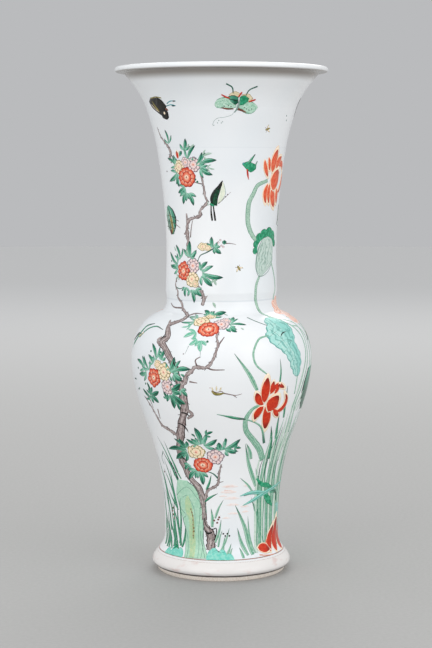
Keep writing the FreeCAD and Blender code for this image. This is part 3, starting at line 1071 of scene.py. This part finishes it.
def belly_cluster(turn):
    p = Painting("peony_spray_belly", turn)
    p.leaves(LEAVES_4, side="leaf_side")
    p.leaves(DARK_4, "leaf_dark", side="leaf")
    p.dots([(-50, 206), (-65, 189), (-72, 178), (-68, 170), (-57, 176), (-41, 206)], 2.2, "leaf_dark")
    p.dots([(-74, 178), (-70, 169)], 1.8, "ink", 2)
    peony(p, -38, 189, 7.8, 1.1, kind="yellow", coat=1)
    peony(p, -43, 195, 4.4, kind="yellow", coat=1)
    peony(p, -36, 176, 7.0, 1.05, kind="mauve", coat=1)
    peony(p, -47, 183, 8.2, 1.12, -30)
    p.finish()


def waist_cluster(turn):
    p = Painting("peony_spray_waist", turn)
    p.bark(
        [(0, 106), (-2, 97), (-3, 88), (-8, 84), (-13, 81), (-16, 72)], (1.4, 2.2, 2.6, 3.0, 3.0, 3.8),
        0.16,
    )
    p.stroke([(-12, 99), (-7, 97), (-3, 93)], (0.9, 1.8), "green_line")
    p.stroke([(2, 90), (-3, 89)], (0.5, 1.2), "twig")
    p.blades([(-14, 82, -9, 96, 2.6), (-16, 71, -3, 79, 2.6)], "grass_dark")
    p.leaves(LEAVES_5, side="leaf_side")
    p.leaves(DARK_5, "leaf_dark", side="leaf")
    peony(p, -21, 117, 8.8, 0.8, kind="yellow", coat=1)
    peony(p, -5, 113, 8.0, 0.95, kind="mauve", coat=1)
    peony(p, -16, 105, 9.4, 0.78)
    p.finish()


BELLY_STEM = [(28, 160), (22, 158), (18, 151), (17, 144), (19, 136), (25, 128), (33, 118), (38, 108)]
BELLY_PETALS = [
    ([(33, 170), (34, 177), (35, 183)], 5.6), ([(36, 169), (38, 174), (40, 180)], 4.6),
    ([(37, 152), (45, 155), (48, 163), (44, 172)], 5.6), ([(37, 156), (41, 151), (44, 147)], 6.4),
    ([(32, 169), (38, 177), (46, 173)], 6.2), ([(29, 160), (25, 165), (22, 174)], 7.4),
    ([(29, 161), (29, 174), (30, 189)], 9.4), ([(29, 160), (25, 153), (23, 145)], 7.4),
    ([(31, 161), (33, 149), (34, 134)], 9.2),
]


def belly_lotus(turn):
    p = Painting("lotus_belly", turn)
    p.stroke(BELLY_STEM, (2.4, 3.4, 4.6, 5.2, 5.8, 6.4, 6.8, 7.0), "reed", 1)
    p.flower(BELLY_PETALS, "red_petal")
    p.petal([(33, 153), (36, 161), (41, 170)], 14.0, "red_petal", 7)
    p.finish()


BLADES_DARK = [
    (39, 174, 39, 201, 2.4), (50, 146, 47, 176, 3.2), (45, 108, 39, 140, 5), (50, 120, 44, 152, 4),
]
BLADES = [
    (26, 110, 20, 125, 4), (34, 84, 19, 125, 4.6), (31, 79, 17, 93, 2.4), (37, 88, 32, 101, 2.4),
    (31, 22, 13, 69, 5), (26, 22, 16, 47, 4), (21, 20, 18, 29, 3), (34, 23, 27, 57, 2.6),
    (43, 31, 30, 74, 5), (47, 30, 38, 64, 3.4), (51, 34, 46, 78, 3.4),
]
GRASS_LEFT = [
    (-48, 92, -62, 127, 2.2), (-43, 96, -53, 124, 2.2), (-45, 88, -61, 114, 2.4), (-40, 90, -48, 105, 2),
    (-50, 66, -66, 97, 2.4), (-49, 62, -61, 77, 2.4), (-52, 26, -63, 50, 3.4), (-44, 28, -49, 66, 3.6),
    (-42, 27, -38, 48, 3), (-48, 27, -56, 46, 3), (-47, 40, -58, 66, 2.6), (-72, 25, -74, 52, 5),
    (-66, 24, -70, 42, 4), (-56, 24, -66, 40, 2.6), (-46, 30, -46, 74, 3), (-50, 28, -54, 70, 3.2),
    (-54, 26, -60, 62, 3.2), (-58, 26, -68, 58, 3), (-62, 24, -71, 52, 3.4), (-48, 60, -54, 98, 2.4),
    (-52, 66, -61, 106, 2.6), (-57, 58, -69, 92, 2.8), (-60, 40, -71, 76, 3.2), (-70, 40, -78, 80, 3.6),
    (-64, 60, -78, 108, 3),
]
GRASS_RIGHT = [
    (-9, 48, -10, 65, 3.4), (-6, 56, 2, 73, 2.4), (-6, 34, 0, 55, 2.8), (-3, 30, 1, 45, 2.2),
    (0, 27, 8, 47, 2.4), (2, 26, 4, 40, 2), (5, 23, 10, 33, 2.4), (8, 22, 11, 29, 2.2),
]
REEDS = [
    (53, 100, 54, 150, 5), (66, 112, 61, 162, 4), (60, 104, 56, 160, 5), (58, 150, 66, 197, 3.4),
    (62, 150, 75, 192, 3), (66, 150, 86, 192, 3), (85, 105, 82, 156, 4), (72, 104, 73, 152, 5),
    (79, 106, 78, 150, 5), (48, 104, 49, 136, 4), (90, 108, 86, 150, 4),
]


def reeds(turn):
    p = Painting("reeds", turn)
    p.stroke([(23, 174), (17, 189), (8, 207)], (3.4, 4.6, 3.6, 2.0, 0.4), "grass")
    p.blades(REEDS, "grass_pale")
    for count in range(12):
        a = 36 + 4.2 * count + 0.12 * count ** 2
        width = 3.2 + 0.26 * count
        sway = 2 * math.sin(2.3 * count)
        low, high = 23 + count % 3 * 2, 118 + count % 4 * 9
        path = [(a, low), (a + sway / 2, 50), (a - 1, 78), (a - 2 + sway, 100), (a + sway, high)]
        p.stroke(path, (width * 0.9, width, width, width * 0.9, 0.4), "reed" if count % 2 else "grass_pale")
        path = [
            (a + 2, low + 4), (a + 2 + sway / 2, 50), (a + 1, 78), (a + 0.5 + sway, 100), (a + 3, high - 8),
        ]
        p.stroke(path, (1.0, 1.4, 1.6, 1.4, 0.4), "grass_dark", 1)
    p.blades(BLADES)
    p.blades(BLADES_DARK, "grass_dark")
    p.stroke([(-3, 153), (4, 151), (11, 149), (17, 148)], (0.5, 1.2, 2.8, 2.6, 1.4), "grass_dark", 2)
    p.stroke([(17, 148), (25, 144), (31, 138), (36, 124)], (1.4, 1.6, 2.4, 3.0), "grass", 2)
    p.panel(
        [(72, 188), (67, 175), (67, 162), (73, 150)], [(92, 190), (88, 176), (88, 162), (84, 150)],
        "leaf_dark", 1,
    )
    p.finish()
    p = Painting("grasses", turn)
    p.blades(GRASS_LEFT, "grass_dark")
    p.blades(GRASS_RIGHT)
    p.stroke([(-44, 89), (-46, 95), (-48, 99), (-51, 105)], (2.2, 1.6, 1.8, 0.8), "green_line", 1)
    p.dots([(-46, 95), (-48, 99), (-50, 103), (-45, 91)], 2.2, "ink", 2)
    p.line([(-59, 113), (-65, 106), (-63, 100)], 1.0, "green_line", 0.5)
    p.dots(
        [(-7, 54), (-3, 55), (-4, 52), (-2, 57), (-56, 61), (-57, 58), (-56, 55), (-54, 52), (-66, 93)],
        2.0, "brown", 2,
    )
    p.dots([(2, 42), (6, 42), (4, 40), (8, 40)], 1.8, "ink", 2)
    p.finish()


def rock(turn):
    """The garden rock, drawn as arches inside arches."""
    p = Painting("garden_rock", turn)
    p.panel(
        [(-36, 19), (-39, 34), (-38, 42), (-42, 53), (-46, 64), (-49, 74), (-47, 83), (-45, 89)],
        [(-12, 20), (-18, 36), (-17, 47), (-14, 61), (-16, 68), (-20, 76), (-26, 84), (-33, 89)], "rock",
        columns=14,
    )
    p.panel(
        [(-31, 20), (-34, 34), (-34, 51), (-38, 61), (-38, 70), (-35, 75)],
        [(-25, 20), (-26, 41), (-27, 52), (-29, 65), (-33, 75)], "rock_heart", 1,
    )
    for arch in (
        [(-19, 20), (-18, 40), (-18, 52), (-15, 65), (-17, 71), (-21, 78), (-26, 84), (-33, 88)],
        [
            (-22, 20), (-23, 41), (-22, 53), (-21, 63), (-21, 70), (-25, 75), (-30, 81), (-35, 83),
            (-42, 79), (-48, 74),
        ],
        [(-27, 20), (-28, 35), (-27, 46), (-27, 61), (-30, 69), (-35, 75), (-40, 73)],
        [(-33, 19), (-36, 39), (-38, 45), (-41, 53), (-37, 57), (-44, 63), (-43, 72)],
        [(-15, 20), (-20, 34), (-21, 44)], [(-30, 24), (-31, 36), (-31, 50), (-33, 62)],
    ):
        p.line(arch, 0.95, "rock_line", coat=2)
    p.line([(-29, 36), (-29, 48), (-29, 56), (-31, 62)], 1.6, "olive", 1.0, 2)
    p.dots(
        [(-31, 63), (-30, 60), (-29, 57), (-29, 53), (-29, 49), (-28, 46), (-28, 43), (-29, 39)], 1.6,
        "brown", 3,
    )
    p.finish()


def neck_leaf(turn):
    """The folded lotus leaf beside the neck: a frilled green rim over its pale underside."""
    p = Painting("lotus_leaf_neck", turn)
    p.stroke(
        [(42, 271), (38, 264), (37, 255), (39, 246), (42, 239), (48, 235), (56, 232)],
        (2.6, 3.0, 3.2, 3.2, 3.0, 2.4, 2.0), "stem",
    )
    p.stroke([(63, 283), (70, 271), (73, 260), (71, 253), (71, 246)], (2.2, 2.6), "stem")
    p.panel(
        [(46, 304), (41, 296), (38, 286), (38, 277), (43, 271)],
        [(58, 307), (67, 301), (67, 291), (64, 282), (45, 271)], "lotus_under", 1, columns=10,
    )
    for shift in (0, 4, 8, 13):
        p.line(
            [(47 + shift, 302 - shift / 6), (43 + shift, 292), (43 + shift * 0.7, 281), (44, 273)], 0.6,
            "grey_line", coat=3,
        )
    p.line(
        [(46, 303), (41, 296), (38, 286), (38, 277), (43, 271), (56, 275), (65, 284)], 0.8, "grey_line",
        coat=3,
    )
    p.stroke(
        [(38, 292), (38, 299), (43, 305), (50, 308), (58, 308), (66, 304), (69, 297)],
        (3.0, 4.4, 5.4, 6.0, 5.6, 4.2, 1.4), "lotus_fold", 3,
    )
    for a, h, size, way in (
        (37, 294, 6.5, 80), (38, 300, 7.5, 60), (42, 306, 8.5, 35), (49, 309, 10, 10), (58, 310, 11, -10),
        (66, 307, 10, -40), (70, 300, 7.5, -70),
    ):
        spot = Spot(a, h, way)
        p.stroke(
            spot((-size / 2, -0.6), (0, 0.8), (size / 2, -0.6)), leafy(size * 0.72, 0.5, 0.5), "lotus_fold",
            3,
        )
        p.stroke(
            spot((-size / 3, -1.6), (-size / 8, 0.8), (size / 5, 0.4)), (0.4, 1.0, 0.3), "leaf_dark", 6,
        )
    p.stroke([(82, 334), (84, 325), (79, 316)], (1.6, 3.6, 1.4), "ink")
    p.finish()


SWEEPING_STEMS = [
    [
        (41, 239), (46, 235), (54, 231), (62, 227), (67, 219), (68, 209), (67, 199), (64, 187), (61, 172),
        (58, 156), (59, 130),
    ],
    [(62, 227), (71, 225), (76, 217), (76, 204), (76, 191), (73, 178), (70, 160)],
    [(58, 233), (70, 228), (72, 218), (71, 207), (70, 194), (67, 182), (64, 170), (61, 155), (65, 130)],
    [(70, 234), (80, 226), (84, 215), (84, 200), (80, 186)],
]


def shoulder_leaf(turn):
    """The big turquoise leaf hanging over the right shoulder, with its stems and pink cloud."""
    p = Painting("lotus_leaf_shoulder", turn)
    spot = Spot(82, 240)
    for way, reach in (
        (150, 17), (20, 16), (60, 15), (105, 15), (-25, 17), (190, 18), (-70, 18), (230, 18), (-110, 17),
    ):
        x, y = math.cos(math.radians(way)), math.sin(math.radians(way))
        p.stroke(
            spot((x * 2, y * 2), (x * reach * 0.6, y * reach * 0.6), (x * reach, y * reach)),
            leafy(10, 0.55, 0.55), "wash", 1 if way % 20 else 2,
        )
    p.dot(82, 240, 5, "yellow_heart", 5)
    for points in SWEEPING_STEMS:
        p.stroke(points, (1.2, 1.8, 2.0, 2.2, 2.4, 2.4), "reed")
    p.line([(23, 236), (28, 233), (34, 230), (38, 228)], 1.2, "green_line", 0.8)
    p.stroke(
        [(33, 221), (26, 219), (22, 213), (20, 205), (22, 196), (29, 188)], (1.6, 2.0, 2.2, 2.2, 1.8, 1.4),
        "reed",
    )
    p.panel(
        [(38, 234), (35, 227), (32, 221), (35, 214), (40, 209), (45, 203), (48, 196), (50, 190), (54, 183)],
        [(40, 235), (47, 235), (55, 232), (58, 227), (57, 219), (55, 213), (58, 205), (59, 195), (57, 183)],
        "lotus_leaf", 1, 12, 2.0, 9,
    )
    p.line([(36, 226), (41, 221), (46, 213), (50, 204), (53, 194), (56, 184)], 0.8, "green_line", 0.6, 3)
    for points in (
        [(36, 232), (41, 229), (48, 231), (54, 229)], [(34, 220), (41, 224), (49, 226), (56, 223)],
        [(38, 212), (44, 216), (50, 216), (54, 214)], [(43, 206), (48, 209), (55, 205)],
        [(48, 197), (52, 200), (57, 197)], [(51, 189), (54, 192), (58, 189)],
    ):
        p.line(points, 0.6, "green_line", 0.4, 3)
    p.stroke([(43, 219), (46, 222), (51, 223)], leafy(1.3), "ink", 4)
    p.stroke([(49, 216), (52, 215), (49, 212)], leafy(1.0), "ink", 4)
    p.stroke([(56, 184), (56, 175), (56, 167)], (1.6, 1.4, 1.8), "reed")
    p.finish()


def orchid(turn):
    """The sprig of orchid grass high on the left shoulder."""
    p = Painting("orchid", turn)
    p.stroke([(-78, 209), (-72, 219), (-68, 226), (-59, 229)], (3.6, 3.6, 2.8, 0.8), "grass_dark", 1)
    p.stroke([(-70, 216), (-63, 224), (-54, 227), (-45, 225)], (2.2, 2.0, 1.6, 0.6), "grass_dark", 1)
    p.stroke([(-82, 212), (-76, 218), (-70, 219)], (2.6, 4.0, 1.0), "ink")
    p.stroke([(-80, 205), (-77, 212)], (1.6, 2.2), "leaf_pale")
    p.dots([(-69, 218), (-67, 220), (-71, 217)], 2.6, "yellow_lobe", 3)
    p.finish()


LOW_PETALS = [
    ([(76, 19), (84, 32), (88, 48)], 15), ([(63, 19), (68, 34), (76, 55)], 12.5),
    ([(53, 20), (57, 33), (67, 48)], 9), ([(37, 27), (46, 26), (56, 23)], 9.6),
]


def water_plants(turn):
    """The spear-shaped leaves by the water, the low lotus bud and the mist on the water."""
    p = Painting("water_leaves", turn)
    p.stroke([(34, 91), (41, 85), (49, 83), (56, 80)], (1.6, 4.6, 5.6, 3.0), "lotus_fold", 3)
    p.stroke([(46, 76), (53, 69), (61, 62)], (4.6, 8.0, 0.8), "lotus_fold", 3)
    p.stroke([(54, 77), (63, 76), (68, 72), (69, 66)], (5.0, 5.0, 3.0, 0.6), "leaf_dark", 3)
    p.stroke([(18, 76), (27, 78), (36, 78), (46, 77)], (0.5, 3.2, 4.6, 2.0), "lotus_edge", 5)
    p.stroke(
        [(21, 67), (32, 71), (45, 76), (58, 79), (72, 81), (86, 82)], (0.5, 3.8, 4.4, 3.6, 2.6, 0.6),
        "lotus_edge", 5,
    )
    for points in ([(22, 76), (36, 78)], [(28, 69), (44, 75)], [(56, 79), (74, 82)]):
        p.line(points, 0.6, "green_line", 0.5, 7)
    p.panel(
        [(68, 38), (66, 48), (70, 56), (68, 63)], [(84, 38), (86, 48), (84, 58), (80, 63)], "lotus_leaf", 1,
    )
    p.finish()
    p = Painting("lotus_low", turn)
    p.petal([(50, 28), (53, 32), (56, 27)], 4.0, "red_petal")
    p.flower(LOW_PETALS, "red_petal")
    p.dots([(80, 48), (84, 44)], 2.6, "mauve_lobe", 3)
    p.line([(38, 21), (48, 19.5), (58, 19)], 1.4, "rust", 0.6, 1)
    p.finish()
    p = Painting("mist", turn)
    for a, h, run, width in (
        (8, 85, 8, 4.6), (7, 80, 8, 5.0), (24, 85, 3, 3.6), (10, 74, 8, 4.0), (2, 76, 4, 2.6),
        (11, 68, 7, 3.4), (23, 66, 5, 3.6), (24, 61, 4, 3.0), (12, 60, 6, 3.0), (5, 56, 4, 2.4),
    ):
        p.stroke([(a - run, h), (a, h + 0.5), (a + run, h)], (0.3, width, width, 0.3), "mist", 0, 0.06)
    p.line([(3, 82), (7, 81.5), (10, 82)], 0.8, "rust", 0.3)
    p.line([(4, 85), (8, 85.5), (12, 85)], 0.7, "rust", 0.3)
    p.finish()


def banks(turn):
    p = Painting("banks", turn)
    for left, right, top in (
        (-56, -46, 28), (-49, -38, 27), (-64, -55, 25), (-14, -1, 30), (-4, 6, 29), (3, 12, 25),
    ):
        middle = (left + right) / 2
        p.panel(
            [
                (left, 19.5), (left + 1, (top + 20) / 2), (middle, top), (right - 1, (top + 20) / 2),
                (right, 19.5),
            ],
            [(left, 19), (middle, 18.8), (right, 19)], "bank", 1,
        )
    p.stroke([(-53, 24), (-49, 27), (-46, 25)], (1, 3, 3, 1), "lotus_fold", 3)
    p.line([(-10, 24), (-5, 27), (0, 25), (4, 26)], 0.8, "green_line", coat=3)
    p.finish()


def ground_line():
    """The double line that the whole scene stands on, right round the vase."""
    p = Painting("ground_line", 0)
    for height, width in ((19.0, 1.2), (17.0, 0.6)):
        for start in range(-180, 180, 60):
            points = [(start + step, height) for step in range(0, 61, 12)]
            p.stroke(points, (width, width), "ground", 0, 0.06, 26)
    p.finish()


# Finish of the solids
def finish_solids():
    glaze, joint = porcelain(), slip()
    for name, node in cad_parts.items():
        chosen = joint if name.endswith("luting") else glaze
        if not node.data.materials:
            node.data.materials.append(chosen)
        for index in range(len(node.data.materials)):
            node.data.materials[index] = chosen


# Studio: a pale floor, a pale surround and soft lamps
FLOOR_RADIUS = 6.0
FLOOR_TONE = seen(174, 174, 173)
FLOOR_SHADE = seen(170, 170, 169)
FLOOR_FAR = seen(194, 195, 196)
SURROUND_TONE = seen(186, 187, 189)
FLOOR_NEAR_END = 0.4
FLOOR_FAR_START = 3.6
DAYLIGHT = 0.93
LAMP_AIM = Vector((0, 0, 0.3))


def studio():
    mesh = bpy.data.meshes.new("floor")
    turns = [math.tau * i / 64 for i in range(64)]
    rim = [(FLOOR_RADIUS * math.cos(t), FLOOR_RADIUS * math.sin(t), 0) for t in turns]
    mesh.from_pydata(rim, [], [range(64)])
    floor = bpy.data.objects.new("floor", mesh)
    bpy.context.scene.collection.objects.link(floor)
    s = Shader("floor")
    cloth = s.step(s.noise(300.0, 3.0), 0.3, 0.7)
    away = s.node(
        "VectorMath", s.node("NewGeometry").outputs["Position"], operation="LENGTH",
    ).outputs["Value"]
    # painted light: the floor turns lighter from near the vase to far away, so that its far part meets the
    # surround's tone at the horizon
    tone = s.mix(
        s.step(away, FLOOR_NEAR_END, FLOOR_FAR_START), s.mix(cloth, FLOOR_TONE, FLOOR_SHADE), FLOOR_FAR,
    )
    mesh.materials.append(s.finish(tone, 0.8, shine=0.1))
    world = bpy.data.worlds.new("surround")
    bpy.context.scene.world = world
    world.use_nodes = True
    nodes, links = world.node_tree.nodes, world.node_tree.links
    light = nodes["Background"]
    light.inputs["Color"].default_value = (1, 1, 1, 1)
    light.inputs["Strength"].default_value = DAYLIGHT
    backdrop = nodes.new("ShaderNodeBackground")
    backdrop.inputs["Color"].default_value = SURROUND_TONE
    path = nodes.new("ShaderNodeLightPath")
    share = path.outputs["Is Camera Ray"]
    for ray in ("Is Glossy Ray", "Is Transmission Ray"):
        either = nodes.new("ShaderNodeMath")
        either.operation = "MAXIMUM"
        links.new(share, either.inputs[0])
        links.new(path.outputs[ray], either.inputs[1])
        share = either.outputs[0]
    mix = nodes.new("ShaderNodeMixShader")
    links.new(share, mix.inputs[0])
    links.new(light.outputs[0], mix.inputs[1])
    links.new(backdrop.outputs[0], mix.inputs[2])
    links.new(mix.outputs[0], nodes["World Output"].inputs[0])


def lamp(name, place, size, watts):
    """A soft square lamp that faces the middle of the vase."""
    data = bpy.data.lights.new(name, "AREA")
    data.shape = "RECTANGLE"
    data.size, data.size_y = size
    data.energy = watts
    thing = bpy.data.objects.new(name, data)
    thing.location = place
    aim = LAMP_AIM - Vector(place)
    thing.rotation_euler = aim.to_track_quat("-Z", "Y").to_euler()
    bpy.context.scene.collection.objects.link(thing)


make_camera()
MOTIFS = (
    neck_peony, neck_cluster, long_bird, neck_lotus, small_bird, butterfly, moth, insects, tree,
    shoulder_cluster, belly_cluster, waist_cluster, reeds, belly_lotus, rock, neck_leaf, shoulder_leaf,
    orchid, water_plants, banks,
)
for turn in (0, BACK_TURN):
    for motif in MOTIFS:
        motif(turn)
ground_line()
finish_solids()
studio()
lamp("key", (-1.4, -2.4, 1.0), (2.6, 2.6), 27)
lamp("fill", (2.3, -1.9, 0.8), (2.6, 2.6), 25)
lamp("back", (0.3, 2.2, 1.9), (2.0, 1.2), 20)

bpy.context.scene.view_settings.view_transform = "Standard"
